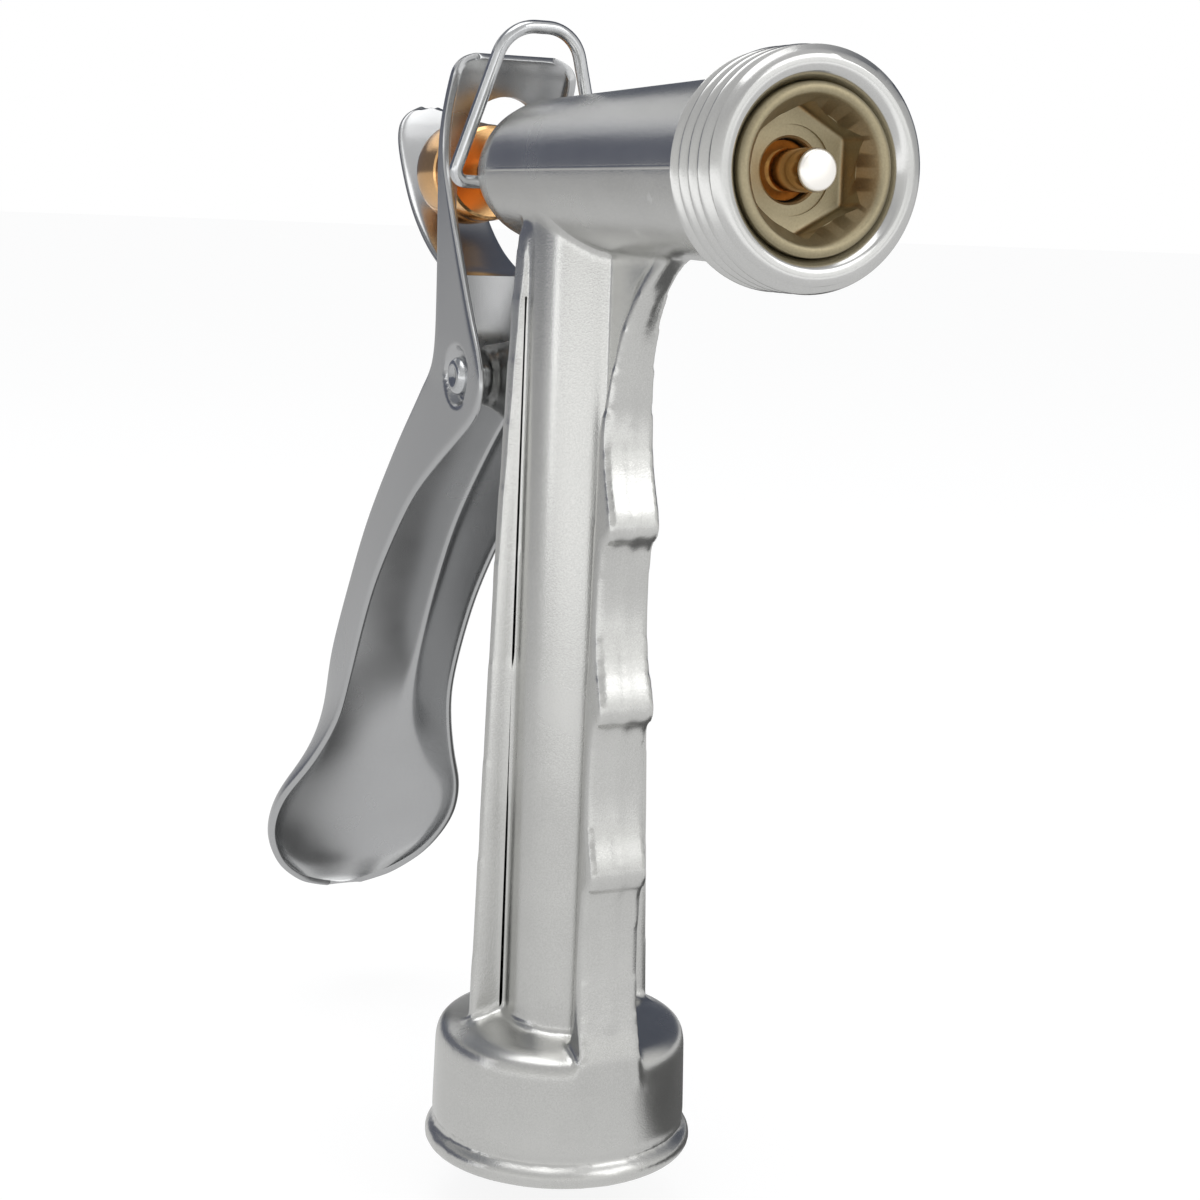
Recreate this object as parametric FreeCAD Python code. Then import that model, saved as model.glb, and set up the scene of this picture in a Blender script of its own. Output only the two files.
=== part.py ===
"""Metal hose spray nozzle with a rear lever, one STEP file per piece.

Frame: origin at the centre of the hose inlet mouth, +Z up the handle, +X the way the water
leaves the barrel, Y across. Millimetres.
"""
import FreeCAD
import Part
import math
import os

from FreeCAD import Vector

# ---- driving dimensions -------------------------------------------------------------------
AXIS_Z = 132.4            # height of the barrel and stem axis above the inlet mouth
FACE_X = 60.3             # front face of the barrel
REAR_X = -24.0            # rear end of the barrel casting

COLLAR_R = 17.3           # inlet collar
LIP_R = 18.3              # rounded lip round the inlet mouth
SHOULDER_Z = 17.2
INLET_R = 12.7            # crests of the female hose thread
INLET_DEPTH = 12.5
WASHER_SEAT_R = 13.6

HANDLE_X = 2.5            # axis of the round handle tube
HANDLE_R_LOW = 8.7
HANDLE_R_TOP = 8.0
CHANNEL_R = 5.0           # water channel up the handle

WING_THICK = 3.0          # side wings behind the tube
WING_LOW = 13.3
WING_TOP = 8.9
WING_TOP_Z = 128.0

BARREL_R_REAR = 9.7
BARREL_R_FRONT = 10.8
THREAD_R = 13.4           # crests of the male hose thread
THREAD_X = 51.8
SOCKET_R = 9.5            # bore that holds the brass insert
SOCKET_X = 49.8
CHAMBER_R = 7.2
CHAMBER_X = -10.0

STEM_R = 2.4
STEM_HOLE_R = 2.46
TIP_X = 60.3
STEM_END_X = -51.0
GLAND_R = 4.5
GLAND_X = -16.5           # bottom of the packing pocket

INSERT_R = 9.45
INSERT_X = (50.9, 59.9)
HEX_FLATS = 13.0
HEX_FLOOR_X = 54.0
ORIFICE_R = 3.55

NUT_X = (-47.6, -33.65)
NUT_R = 7.6

GASKET_X = (49.85, 50.85)     # rubber gasket under the insert
VALVE_WASHER_X = (47.7, 50.65)
BACKING_WASHER_X = (46.2, 47.65)

PIVOT_X = -23.2           # rivet that the lever turns on
PIVOT_Z = 103.8
RIVET_R = 1.7
RIVET_HEAD_R = 2.8
RIVET_SEAT = 7.6              # flats of the lever's dimples, out from the middle
DIMPLE_R = 4.2
DIMPLE_DEPTH = 3.65
LUG_HALF = 4.2
LUG_R = 4.6
BOSS_HALF = 5.0

SHEET = 1.2               # lever sheet thickness
OPENING_HALF = 6.0        # arched opening in the lever web
OPENING_LOW = 117.6
OPENING_TOP = 143.0

BAIL_X = -20.5            # pivot of the wire hold-open loop
BAIL_Z = 130.8
BAIL_WIRE_R = 0.92
BAIL_HALF = 11.3
BAIL_LENGTH = 21.5
BAIL_LEAN = 9.5           # degrees forward of upright

SPRING_X = (-8.85, 46.15)
SPRING_MEAN_R = 4.6
SPRING_WIRE_R = 0.6
SPRING_TURNS = 11

UP = Vector(0, 0, 1)
FORWARD = Vector(1, 0, 0)
ACROSS = Vector(0, 1, 0)


# ---- shape helpers ------------------------------------------------------------------------
def save(shape, node):
    """Write one piece, after checking that it is a sound solid."""
    clean = shape.removeSplitter()
    if not clean.isValid():
        clean = shape
    print(node, "valid", clean.isValid(), "solids", len(clean.Solids), "volume", round(clean.Volume, 1))
    clean.exportStep("parts/" + node + ".step")


def along_x(x_from, x_to, radius, y=0.0, z=AXIS_Z):
    """Cylinder along X between two stations."""
    return Part.makeCylinder(radius, x_to - x_from, Vector(x_from, y, z), FORWARD)


def along_y(half, radius, x, z):
    """Cylinder along Y, centred on the middle plane."""
    return Part.makeCylinder(radius, 2 * half, Vector(x, -half, z), ACROSS)


def spun(points, about_x):
    """Solid of revolution from (station, radius) points, about the stem axis or the Z axis."""
    if about_x:
        corners = [Vector(station, 0, AXIS_Z + radius) for station, radius in points]
        axis_at, axis = Vector(0, 0, AXIS_Z), FORWARD
    else:
        corners = [Vector(radius, 0, station) for station, radius in points]
        axis_at, axis = Vector(0, 0, 0), UP
    face = Part.Face(Part.makePolygon(corners + corners[:1]))
    return face.revolve(axis_at, axis, 360)


def plate(points, half):
    """Flat plate in the XZ plane from (x, z) points, reaching half to each side of Y = 0."""
    corners = [Vector(x, -half, z) for x, z in points]
    face = Part.Face(Part.makePolygon(corners + corners[:1]))
    return face.extrude(Vector(0, 2 * half, 0))


def side_plate(points, x_from, x_to):
    """Flat plate in the YZ plane from (y, z) points, between two X stations."""
    corners = [Vector(x_from, y, z) for y, z in points]
    face = Part.Face(Part.makePolygon(corners + corners[:1]))
    return face.extrude(Vector(x_to - x_from, 0, 0))


def arc(first, middle, last):
    """Edge through three (x, z) points in the middle plane."""
    return Part.Arc(*[Vector(x, 0, z) for x, z in (first, middle, last)]).toShape()


def line(first, last):
    return Part.LineSegment(Vector(first[0], 0, first[1]), Vector(last[0], 0, last[1])).toShape()


# ---- die-cast body ------------------------------------------------------------------------
def collar():
    return spun([(0, 0), (0, 17.4), (0.9, LIP_R), (2.4, LIP_R), (3.8, COLLAR_R + 0.1),
                 (SHOULDER_Z - 1, COLLAR_R - 0.1), (SHOULDER_Z + 0.2, COLLAR_R - 1),
                 (19.6, 8.6), (19.6, 0)], about_x=False)


def handle_tube():
    return Part.makeCone(HANDLE_R_LOW, HANDLE_R_TOP, AXIS_Z - SHOULDER_Z,
                         Vector(HANDLE_X, 0, SHOULDER_Z), UP)


def side_wings():
    outline = [(-WING_LOW, SHOULDER_Z), (WING_LOW, SHOULDER_Z), (WING_TOP, WING_TOP_Z - 12),
               (WING_TOP - 0.8, WING_TOP_Z), (0.8 - WING_TOP, WING_TOP_Z), (-WING_TOP, WING_TOP_Z - 12)]
    return side_plate(outline, -WING_THICK, 0)


def finger_grip():
    """Web and scalloped front flange: three finger hollows between rounded ridges."""
    foot, third, second, first = (17.0, SHOULDER_Z), (17.5, 41.0), (18.0, 63.0), (18.3, 86.8)
    neck, barrel_end = (19.2, 113.5), (31.0, 122.8)
    front = [arc(foot, (15.9, 29.0), third), arc(third, (15.6, 52.0), second),
             arc(second, (15.6, 75.0), first), arc(first, (15.5, 99.5), neck),
             arc(neck, (23.2, 119.2), barrel_end)]
    back = [line(barrel_end, (26.0, 124.0)), arc((26.0, 124.0), (18.6, 116.5), (14.6, 104.0)),
            line((14.6, 104.0), (13.2, 80.0)), line((13.2, 80.0), (13.2, SHOULDER_Z)),
            line((13.2, SHOULDER_Z), foot)]
    face = Part.Face(Part.Wire(front + back))
    face.translate(Vector(0, -5, 0))
    slab = face.extrude(Vector(0, 10, 0))
    taper = side_plate([(-4.2, SHOULDER_Z), (4.2, SHOULDER_Z), (3.5, 100), (2.2, 116), (1.2, 124),
                        (-1.2, 124), (-2.2, 116), (-3.5, 100)], 10, 34)
    web = plate([(6, SHOULDER_Z), (14, SHOULDER_Z), (14, 100), (20, 116), (27, 124), (6, 124)], 1.1)
    return slab.common(taper).fuse(web)


def pivot_lug():
    """Tang behind the tube that carries the lever rivet."""
    tang = plate([(2, 112), (PIVOT_X, PIVOT_Z + LUG_R), (PIVOT_X, PIVOT_Z - LUG_R), (2, 94)], LUG_HALF)
    tip = along_y(LUG_HALF, LUG_R, PIVOT_X, PIVOT_Z)
    boss = along_y(BOSS_HALF, LUG_R - 0.3, PIVOT_X, PIVOT_Z)
    return tang.fuse([tip, boss])


def barrel():
    return spun([(REAR_X, 0), (REAR_X, 6.0), (-19.0, 8.0), (-15.5, 9.1), (-12.0, BARREL_R_REAR),
                 (THREAD_X, BARREL_R_FRONT), (THREAD_X, THREAD_R), (59.4, THREAD_R),
                 (FACE_X, 11.8), (FACE_X, 0)], about_x=True)


def body_hollows():
    inlet = Part.makeCylinder(INLET_R, INLET_DEPTH, Vector(0, 0, 0), UP)
    washer_groove = Part.makeCylinder(WASHER_SEAT_R, 3.0, Vector(0, 0, INLET_DEPTH - 3.0), UP)
    channel = Part.makeCylinder(CHANNEL_R, AXIS_Z - INLET_DEPTH, Vector(HANDLE_X - 0.5, 0, INLET_DEPTH), UP)
    chamber = along_x(CHAMBER_X, SOCKET_X, CHAMBER_R)
    socket = along_x(SOCKET_X, FACE_X, SOCKET_R)
    mouth = Part.makeCone(SOCKET_R, 10.6, 1.5, Vector(FACE_X - 1.5, 0, AXIS_Z), FORWARD)
    stem_hole = along_x(REAR_X, CHAMBER_X, STEM_HOLE_R)
    packing_pocket = along_x(REAR_X, GLAND_X, GLAND_R + 0.02)
    rivet_hole = along_y(BOSS_HALF, RIVET_R + 0.05, PIVOT_X, PIVOT_Z)
    wire_holes = [Part.makeCylinder(BAIL_WIRE_R + 0.08, 5, Vector(BAIL_X, side * 5.3, BAIL_Z),
                                    Vector(0, side, 0)) for side in (-1, 1)]
    return [inlet, washer_groove, channel, chamber, socket, mouth, stem_hole,
            packing_pocket, rivet_hole] + wire_holes


def body_casting():
    solid = collar().fuse([handle_tube(), side_wings(), finger_grip(), pivot_lug(), barrel()])
    return solid.cut(body_hollows())


# ---- brass and rubber pieces in the barrel -------------------------------------------------
def nozzle_insert():
    """Brass retainer in the barrel mouth, with a hexagon socket and the spray orifice."""
    blank = spun([(INSERT_X[0], 0), (INSERT_X[0], INSERT_R), (INSERT_X[1] - 0.4, INSERT_R),
                  (INSERT_X[1], INSERT_R - 0.4), (INSERT_X[1], 0)], about_x=True)
    corner_r = HEX_FLATS / 2 / math.cos(math.pi / 6)
    corners = [Vector(HEX_FLOOR_X, corner_r * math.sin(k * math.pi / 3),
                      AXIS_Z + corner_r * math.cos(k * math.pi / 3)) for k in range(7)]
    hexagon = Part.Face(Part.makePolygon(corners)).extrude(Vector(INSERT_X[1] - HEX_FLOOR_X, 0, 0))
    lead_in = Part.makeCone(6.6, 8.0, 1.4, Vector(INSERT_X[1] - 1.4, 0, AXIS_Z), FORWARD)
    orifice = along_x(INSERT_X[0], HEX_FLOOR_X, ORIFICE_R)
    step = along_x(HEX_FLOOR_X - 0.4, HEX_FLOOR_X, 5.1)
    return blank.cut([hexagon, lead_in, orifice, step])


def ring(x_from, x_to, outer, inner):
    return along_x(x_from, x_to, outer).cut(along_x(x_from, x_to, inner))


def packing_ring():
    """Rubber stem packing, a round-edged ring squeezed between the pocket and the gland bush."""
    return ring(GLAND_X - 2.9, GLAND_X - 0.02, GLAND_R, STEM_R + 0.02)


def gland_bush():
    barrel_part = ring(REAR_X, GLAND_X - 2.95, GLAND_R, STEM_HOLE_R)
    head = ring(REAR_X - 1.6, REAR_X - 0.02, GLAND_R + 1.0, STEM_HOLE_R)
    neck = ring(REAR_X - 0.02, REAR_X, GLAND_R, STEM_HOLE_R)
    return barrel_part.fuse([neck, head])


def inlet_washer():
    outer = Part.makeCylinder(WASHER_SEAT_R - 0.05, 2.8, Vector(0, 0, INLET_DEPTH - 2.9), UP)
    return outer.cut(Part.makeCylinder(8.0, 2.8, Vector(0, 0, INLET_DEPTH - 2.9), UP))


def valve_stem():
    """Brass rod: spray tip and flow collar in front, plain shank, nut end behind."""
    return spun([(STEM_END_X, 0), (STEM_END_X, STEM_R - 0.5), (STEM_END_X + 0.5, STEM_R),
                 (50.75, STEM_R), (50.75, 3.3), (52.4, 3.3), (53.3, STEM_R), (TIP_X - 0.5, STEM_R),
                 (TIP_X, STEM_R - 0.5), (TIP_X, 0)], about_x=True)


def return_spring():
    """Helix with round wire, drawn as one solid along the stem."""
    length = SPRING_X[1] - SPRING_X[0] - 2 * SPRING_WIRE_R
    helix = Part.makeHelix(length / SPRING_TURNS, length, SPRING_MEAN_R)
    section = Part.Wire(Part.makeCircle(SPRING_WIRE_R, Vector(SPRING_MEAN_R, 0, 0), ACROSS))
    coil = Part.Wire(helix).makePipeShell([section], True, True)
    coil.rotate(Vector(0, 0, 0), ACROSS, 90)
    coil.translate(Vector(SPRING_X[0] + SPRING_WIRE_R, 0, AXIS_Z))
    return coil


def adjusting_nut():
    """Crowned round brass nut on the rear of the stem, which the lever web pushes."""
    rear, front = NUT_X
    return spun([(rear, STEM_R + 0.05), (rear, 5.6), (rear + 1.0, 6.9), (rear + 2.4, NUT_R),
                 (rear + 5.0, NUT_R), (front - 4.5, 7.2), (front - 0.7, 6.9), (front, 6.3),
                 (front, STEM_R + 0.05)], about_x=True)


# ---- lever ---------------------------------------------------------------------------------
# Each station down the lever: web point (x, z), front edge point (x, z), half width of the
# web and half width at the front edge.
LEVER_STATIONS = [
    ((-26.6, 148.6), (-24.7, 148.2), 7.0, 7.2), ((-28.3, 145.5), (-26.1, 145.0), 9.2, 9.3),
    ((-31.3, 139.5), (-28.8, 139.2), 9.3, 9.4), ((-32.8, 134.0), (-29.3, 133.8), 9.2, 9.3),
    ((-33.4, 128.0), (-27.4, 128.6), 9.1, 9.2), ((-33.4, 120.0), (-23.4, 120.8), 9.0, 9.1),
    ((-33.4, 113.0), (-19.0, 112.8), 9.0, 9.0), ((-33.6, 108.5), (-15.6, 107.6), 9.0, 9.0),
    ((-34.6, 105.5), (-14.0, 103.2), 8.9, 9.0), ((-36.4, 103.4), (-16.0, 98.8), 8.8, 9.0),
    ((-38.8, 101.4), (-22.5, 94.8), 8.8, 9.1), ((-42.2, 98.6), (-31.0, 90.0), 8.7, 9.3),
    ((-50.4, 91.6), (-41.2, 83.3), 8.5, 9.5), ((-63.0, 79.1), (-53.8, 71.3), 8.3, 9.6),
    ((-72.1, 66.9), (-61.2, 62.0), 8.3, 9.5), ((-79.7, 54.7), (-67.8, 50.8), 8.5, 9.6),
    ((-83.8, 45.5), (-70.9, 43.8), 8.6, 10.4), ((-88.4, 36.8), (-75.8, 36.0), 8.4, 13.0),
    ((-92.6, 28.4), (-81.4, 28.6), 8.0, 16.2), ((-95.4, 21.0), (-85.6, 21.6), 7.6, 16.4),
    ((-96.9, 14.2), (-90.0, 14.4), 6.6, 12.6), ((-97.0, 9.4), (-93.6, 9.6), 4.6, 6.8),
]


def channel_section(station):
    """Closed U outline, web at the rear and a flange to each side."""
    (web_x, web_z), (edge_x, edge_z), web_half, edge_half = station
    depth = math.hypot(edge_x - web_x, edge_z - web_z)
    ahead = Vector((edge_x - web_x) / depth, 0, (edge_z - web_z) / depth)
    bend = min(2.0, 0.45 * depth)
    rise = (edge_half - web_half) * bend / depth
    outer = [(edge_half, depth), (web_half + rise, bend), (web_half - 0.3 * bend, 0.3 * bend),
             (web_half - bend, 0)]
    inner = [(web_half - bend, SHEET), (web_half + rise - SHEET, max(bend, SHEET + 0.1)),
             (edge_half - SHEET, depth)]
    origin = Vector(web_x, 0, web_z)
    left = [origin + ahead * s + ACROSS * y for y, s in outer]
    right = [origin + ahead * s - ACROSS * y for y, s in reversed(outer)]
    inside = [origin + ahead * s - ACROSS * y for y, s in reversed(inner)]
    inside += [origin + ahead * s + ACROSS * y for y, s in inner]
    return Part.makePolygon(left + right + inside + left[:1])


def web_opening():
    """Arched window that the stem and the nut look through."""
    straight_top = OPENING_TOP - OPENING_HALF
    window = Part.makeBox(8, 2 * OPENING_HALF, straight_top - OPENING_LOW,
                          Vector(-36, -OPENING_HALF, OPENING_LOW))
    return window.fuse(along_x(-36, -27, OPENING_HALF, z=straight_top))


def nut_guard():
    """Tongue lanced out of the window and bent back behind the nut."""
    low, middle, top = (-32.6, 116.0), (-50.9, 125.4), (-60.6, 142.2)
    low_in, middle_in, top_in = (-32.6, 117.4), (-50.0, 126.3), (-59.4, 142.5)
    face = Part.Face(Part.Wire([arc(low, middle, top), line(top, top_in),
                                arc(top_in, middle_in, low_in), line(low_in, low)]))
    face.translate(Vector(0, -5.8, 0))
    return face.extrude(Vector(0, 11.6, 0))


def lever():
    """Pressed channel, dimpled inward on both flanges to meet the tang at the rivet."""
    shell = Part.makeLoft([channel_section(station) for station in LEVER_STATIONS], True, True)
    dimples = []
    recesses = []
    for side in (-1, 1):
        outward = Vector(0, side, 0)
        inner_at = Vector(PIVOT_X, side * (BOSS_HALF + 0.25), PIVOT_Z)
        recess_at = Vector(PIVOT_X, side * RIVET_SEAT, PIVOT_Z)
        dimples.append(Part.makeCylinder(DIMPLE_R, DIMPLE_DEPTH, inner_at, outward))
        recesses.append(Part.makeCone(3.1, 3.5, 1.5, recess_at, outward))
    holes = recesses + [web_opening(), along_y(12, RIVET_R + 0.05, PIVOT_X, PIVOT_Z)]
    return shell.fuse(dimples).cut(holes).fuse(nut_guard())


def pivot_rivet():
    """Rivet through both flanges and the tang, with a domed head each side."""
    solid = along_y(RIVET_SEAT + 0.1, RIVET_R, PIVOT_X, PIVOT_Z)
    for side in (-1, 1):
        seat = Vector(PIVOT_X, side * (RIVET_SEAT + 0.05), PIVOT_Z)
        solid = solid.fuse(Part.makeCylinder(RIVET_HEAD_R, 0.9, seat, Vector(0, side, 0)))
        crown = seat + ACROSS * (0.9 * side)
        solid = solid.fuse(Part.makeCone(RIVET_HEAD_R, 1.9, 0.9, crown, Vector(0, side, 0)))
    return solid


# ---- hold-open wire ------------------------------------------------------------------------
def rounded_path(points, radii):
    """Wire of straight runs joined by tangent arcs, one radius for each inner corner."""
    edges = []
    start = points[0]
    for before, corner, after, radius in zip(points, points[1:], points[2:], radii):
        toward = (before - corner).normalize()
        away = (after - corner).normalize()
        half_angle = toward.getAngle(away) / 2
        reach = radius / math.tan(half_angle)
        middle = corner + (toward + away).normalize() * (radius / math.sin(half_angle) - radius)
        arc_start, arc_end = corner + toward * reach, corner + away * reach
        edges.append(Part.LineSegment(start, arc_start).toShape())
        edges.append(Part.Arc(arc_start, middle, arc_end).toShape())
        start = arc_end
    edges.append(Part.LineSegment(start, points[-1]).toShape())
    return Part.Wire(edges)


def hold_open_wire():
    lean = math.radians(BAIL_LEAN)
    top = Vector(BAIL_X + BAIL_LENGTH * math.sin(lean), 0, BAIL_Z + BAIL_LENGTH * math.cos(lean))
    base = Vector(BAIL_X, 0, BAIL_Z)
    corners = [base - ACROSS * 5.5, base - ACROSS * BAIL_HALF, top - ACROSS * 4.9,
               top + ACROSS * 4.9, base + ACROSS * BAIL_HALF, base + ACROSS * 5.5]
    path = rounded_path(corners, [1.6, 5.4, 5.4, 1.6])
    section = Part.Wire(Part.makeCircle(BAIL_WIRE_R, corners[0], ACROSS))
    return path.makePipeShell([section], True, False, 2)


def main():
    os.makedirs("parts", exist_ok=True)
    save(body_casting(), "body_casting")
    save(nozzle_insert(), "nozzle_insert")
    save(ring(*GASKET_X, SOCKET_R - 0.1, CHAMBER_R + 0.15), "insert_gasket")
    save(packing_ring(), "stem_packing")
    save(gland_bush(), "gland_bush")
    save(ring(CHAMBER_X + 0.05, CHAMBER_X + 1.05, 6.6, STEM_R + 0.2), "spring_seat_washer")
    save(return_spring(), "return_spring")
    save(inlet_washer(), "inlet_washer")
    save(valve_stem(), "valve_stem")
    save(ring(*VALVE_WASHER_X, 6.4, STEM_R + 0.02), "valve_washer")
    save(ring(*BACKING_WASHER_X, 6.2, STEM_R + 0.02), "backing_washer")
    save(adjusting_nut(), "adjusting_nut")
    save(lever(), "lever")
    save(pivot_rivet(), "pivot_rivet")
    save(hold_open_wire(), "hold_open_wire")


main()
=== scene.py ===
import math

import bmesh
import bpy
from mathutils import Matrix, Vector


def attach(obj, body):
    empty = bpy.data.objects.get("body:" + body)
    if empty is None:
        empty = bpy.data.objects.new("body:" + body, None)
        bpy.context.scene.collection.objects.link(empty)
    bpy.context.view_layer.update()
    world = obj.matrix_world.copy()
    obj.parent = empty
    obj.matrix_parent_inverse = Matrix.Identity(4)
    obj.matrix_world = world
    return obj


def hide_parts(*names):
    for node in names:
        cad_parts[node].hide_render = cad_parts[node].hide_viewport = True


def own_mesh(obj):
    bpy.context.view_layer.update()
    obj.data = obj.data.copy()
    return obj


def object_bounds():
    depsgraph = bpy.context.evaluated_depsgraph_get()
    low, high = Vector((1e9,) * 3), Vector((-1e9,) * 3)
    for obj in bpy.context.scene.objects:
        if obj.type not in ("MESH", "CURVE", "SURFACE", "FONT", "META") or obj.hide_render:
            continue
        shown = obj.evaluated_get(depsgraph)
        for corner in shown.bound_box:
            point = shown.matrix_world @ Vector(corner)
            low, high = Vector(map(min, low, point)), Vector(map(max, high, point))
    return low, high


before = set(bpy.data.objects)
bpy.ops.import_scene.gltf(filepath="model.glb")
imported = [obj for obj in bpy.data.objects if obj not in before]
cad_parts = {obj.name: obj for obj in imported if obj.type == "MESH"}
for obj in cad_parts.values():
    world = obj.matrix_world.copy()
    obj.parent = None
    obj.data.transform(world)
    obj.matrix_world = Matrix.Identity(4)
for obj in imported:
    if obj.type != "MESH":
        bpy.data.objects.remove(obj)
cad_low, cad_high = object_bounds()


# ---- Camera ---------------------------------------------------------------------------------
# The nozzle is seen from in front of its barrel, a little above and to the left, from about
# 28 cm away, so the near end of the barrel looks large.
LOOKED_AT, DISTANCE = Vector((0.01502, 0, 0.08859)), 0.28395
camera_data = bpy.data.cameras.new("camera")
camera = bpy.data.objects.new("camera", camera_data)
bpy.context.scene.collection.objects.link(camera)
bpy.context.scene.camera = camera
turn, rise, roll = math.radians(64.59), math.radians(7.69), math.radians(2.05)
back = Vector((math.sin(turn) * math.cos(rise), -math.cos(turn) * math.cos(rise), math.sin(rise)))
side = Vector((math.cos(turn), math.sin(turn), 0))
over = back.cross(side)
camera_right = side * math.cos(roll) + over * math.sin(roll)
camera_up = over * math.cos(roll) - side * math.sin(roll)
camera.location = LOOKED_AT + back * DISTANCE
camera.rotation_mode = "QUATERNION"
camera.rotation_quaternion = Matrix(list(zip(camera_right, camera_up, back))).to_quaternion()
camera_data.sensor_width = 36
camera_data.lens = 66.8
camera_data.shift_x = -0.0208
camera_data.shift_y = -0.0676
camera_data.clip_start, camera_data.clip_end = 0.01, 20


# ---- Die-cast body --------------------------------------------------------------------------
# One zinc casting: inlet collar, hollow handle with a wing each side, scalloped finger grip,
# lever tang and barrel. Every corner is rounded by the mould and by tumbling afterwards, and
# the mould's parting line runs along the barrel and down the grip.
MM = 0.001
FORWARD, UP, ACROSS = Vector((1, 0, 0)), Vector((0, 0, 1)), Vector((0, 1, 0))
BARREL_HEIGHT = 0.1324
BARREL_LINE = UP * BARREL_HEIGHT
RIVET_PLACE = Vector((-23.2, 0, 103.8)) * MM
WIRE_HOLE = Vector((-20.5, 0, 130.8)) * MM
VOXEL = 0.48 * MM


def pick_nothing():
    if bpy.context.object and bpy.context.object.mode != "OBJECT":
        bpy.ops.object.mode_set(mode="OBJECT")
    bpy.ops.object.select_all(action="DESELECT")


def pick(*pieces):
    pick_nothing()
    for piece in pieces:
        piece.select_set(True)
    bpy.context.view_layer.objects.active = pieces[0]


def outline_started(name, points):
    """A chain of edges through the points, drawn by extruding one vertex, in edit mode."""
    pick_nothing()
    bpy.ops.mesh.primitive_plane_add(size=MM)
    piece = bpy.context.object
    piece.name = name
    bpy.ops.object.mode_set(mode="EDIT")
    bpy.ops.mesh.select_all(action="SELECT")
    bpy.ops.mesh.merge(type="CENTER")
    bpy.ops.transform.translate(value=points[0])
    for before, point in zip(points, points[1:]):
        bpy.ops.mesh.extrude_region_move(TRANSFORM_OT_translate={"value": point - before})
    bpy.ops.mesh.select_all(action="SELECT")
    return piece


def made_sound():
    """Merges doubles and turns all faces outwards, in edit mode, then leaves edit mode."""
    bpy.ops.mesh.select_all(action="SELECT")
    bpy.ops.mesh.remove_doubles(threshold=0.00001)
    bpy.ops.mesh.dissolve_degenerate(threshold=0.000005)
    bpy.ops.mesh.select_all(action="SELECT")
    bpy.ops.mesh.normals_make_consistent(inside=False)
    bpy.ops.object.mode_set(mode="OBJECT")


def turned(name, outline, along, centre=Vector((0, 0, 0)), steps=96):
    """Turns a closed outline of (station, radius) millimetres about an axis through centre."""
    out = UP if along != UP else FORWARD
    points = [centre + along * (station * MM) + out * (radius * MM) for station, radius in outline]
    piece = outline_started(name, points + points[:1])
    bpy.ops.mesh.spin(steps=steps, angle=2 * math.pi, center=centre, axis=along)
    made_sound()
    return piece


def slab(name, outline, half):
    """A flat slab from closed (x, z) millimetres, half thick to each side of the middle."""
    points = [Vector((x * MM, -half * MM, z * MM)) for x, z in outline]
    piece = outline_started(name, points + points[:1])
    bpy.ops.mesh.remove_doubles(threshold=0.00001)
    bpy.ops.mesh.edge_face_add()
    bpy.ops.mesh.extrude_region_move(TRANSFORM_OT_translate={"value": ACROSS * (2 * half * MM)})
    made_sound()
    return piece


def block(centre, size):
    """A plain block of the given middle and size, in metres."""
    pick_nothing()
    bpy.ops.mesh.primitive_cube_add(size=1, location=centre)
    bpy.ops.transform.resize(value=size)
    bpy.ops.object.transform_apply(location=True, rotation=True, scale=True)
    return bpy.context.object


def top_picked(piece):
    """Goes into edit mode with only the block's top face picked."""
    bpy.ops.object.mode_set(mode="EDIT")
    bpy.ops.mesh.select_all(action="DESELECT")
    shaping = bmesh.from_edit_mesh(piece.data)
    for face in shaping.faces:
        face.select = face.normal.z > 0.9
    bmesh.update_edit_mesh(piece.data)


def drawn_up(piece, climbs, centre):
    """Draws a block's top up in steps of (climb, thicker, narrower) about a centre."""
    top_picked(piece)
    for climb, thicker, narrower in climbs:
        bpy.ops.mesh.extrude_region_move(TRANSFORM_OT_translate={"value": (0, 0, climb)})
        bpy.ops.transform.resize(value=(thicker, narrower, 1), center_override=centre)
    made_sound()
    return piece


def modified(piece, kind, **settings):
    pick(piece)
    modifier = piece.modifiers.new(kind.lower(), kind)
    for key, value in settings.items():
        setattr(modifier, key, value)
    bpy.ops.object.modifier_apply(modifier=modifier.name)
    return piece


def rounded(piece, width, degrees=40, segments=3):
    """Rounds the corners sharper than an angle, by a width in millimetres."""
    return modified(piece, "BEVEL", width=width * MM, segments=segments, limit_method="ANGLE",
                    angle_limit=math.radians(degrees))


def cut(piece, tool, how="DIFFERENCE"):
    modified(piece, "BOOLEAN", operation=how, solver="EXACT", object=tool)
    bpy.data.objects.remove(tool)
    return piece


def joined(name, *pieces):
    pick(*pieces)
    bpy.ops.object.join()
    pieces[0].name = name
    return pieces[0]


def smooth(piece, degrees):
    pick(piece)
    bpy.ops.object.shade_smooth_by_angle(angle=math.radians(degrees))
    return piece


def curve_through(points, per_span):
    """Points on a smooth line through the given points, of any number of parts each."""
    line = []
    for i in range(len(points) - 1):
        before, here = points[max(i - 1, 0)], points[i]
        there, after = points[i + 1], points[min(i + 2, len(points) - 1)]
        for step in range(per_span):
            t = step / per_span
            line.append(tuple(
                0.5 * (2 * b + (c - a) * t + (2 * a - 5 * b + 4 * c - d) * t * t
                       + (3 * b - a - 3 * c + d) * t ** 3)
                for a, b, c, d in zip(before, here, there, after)))
    return line + [tuple(points[-1])]


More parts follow.
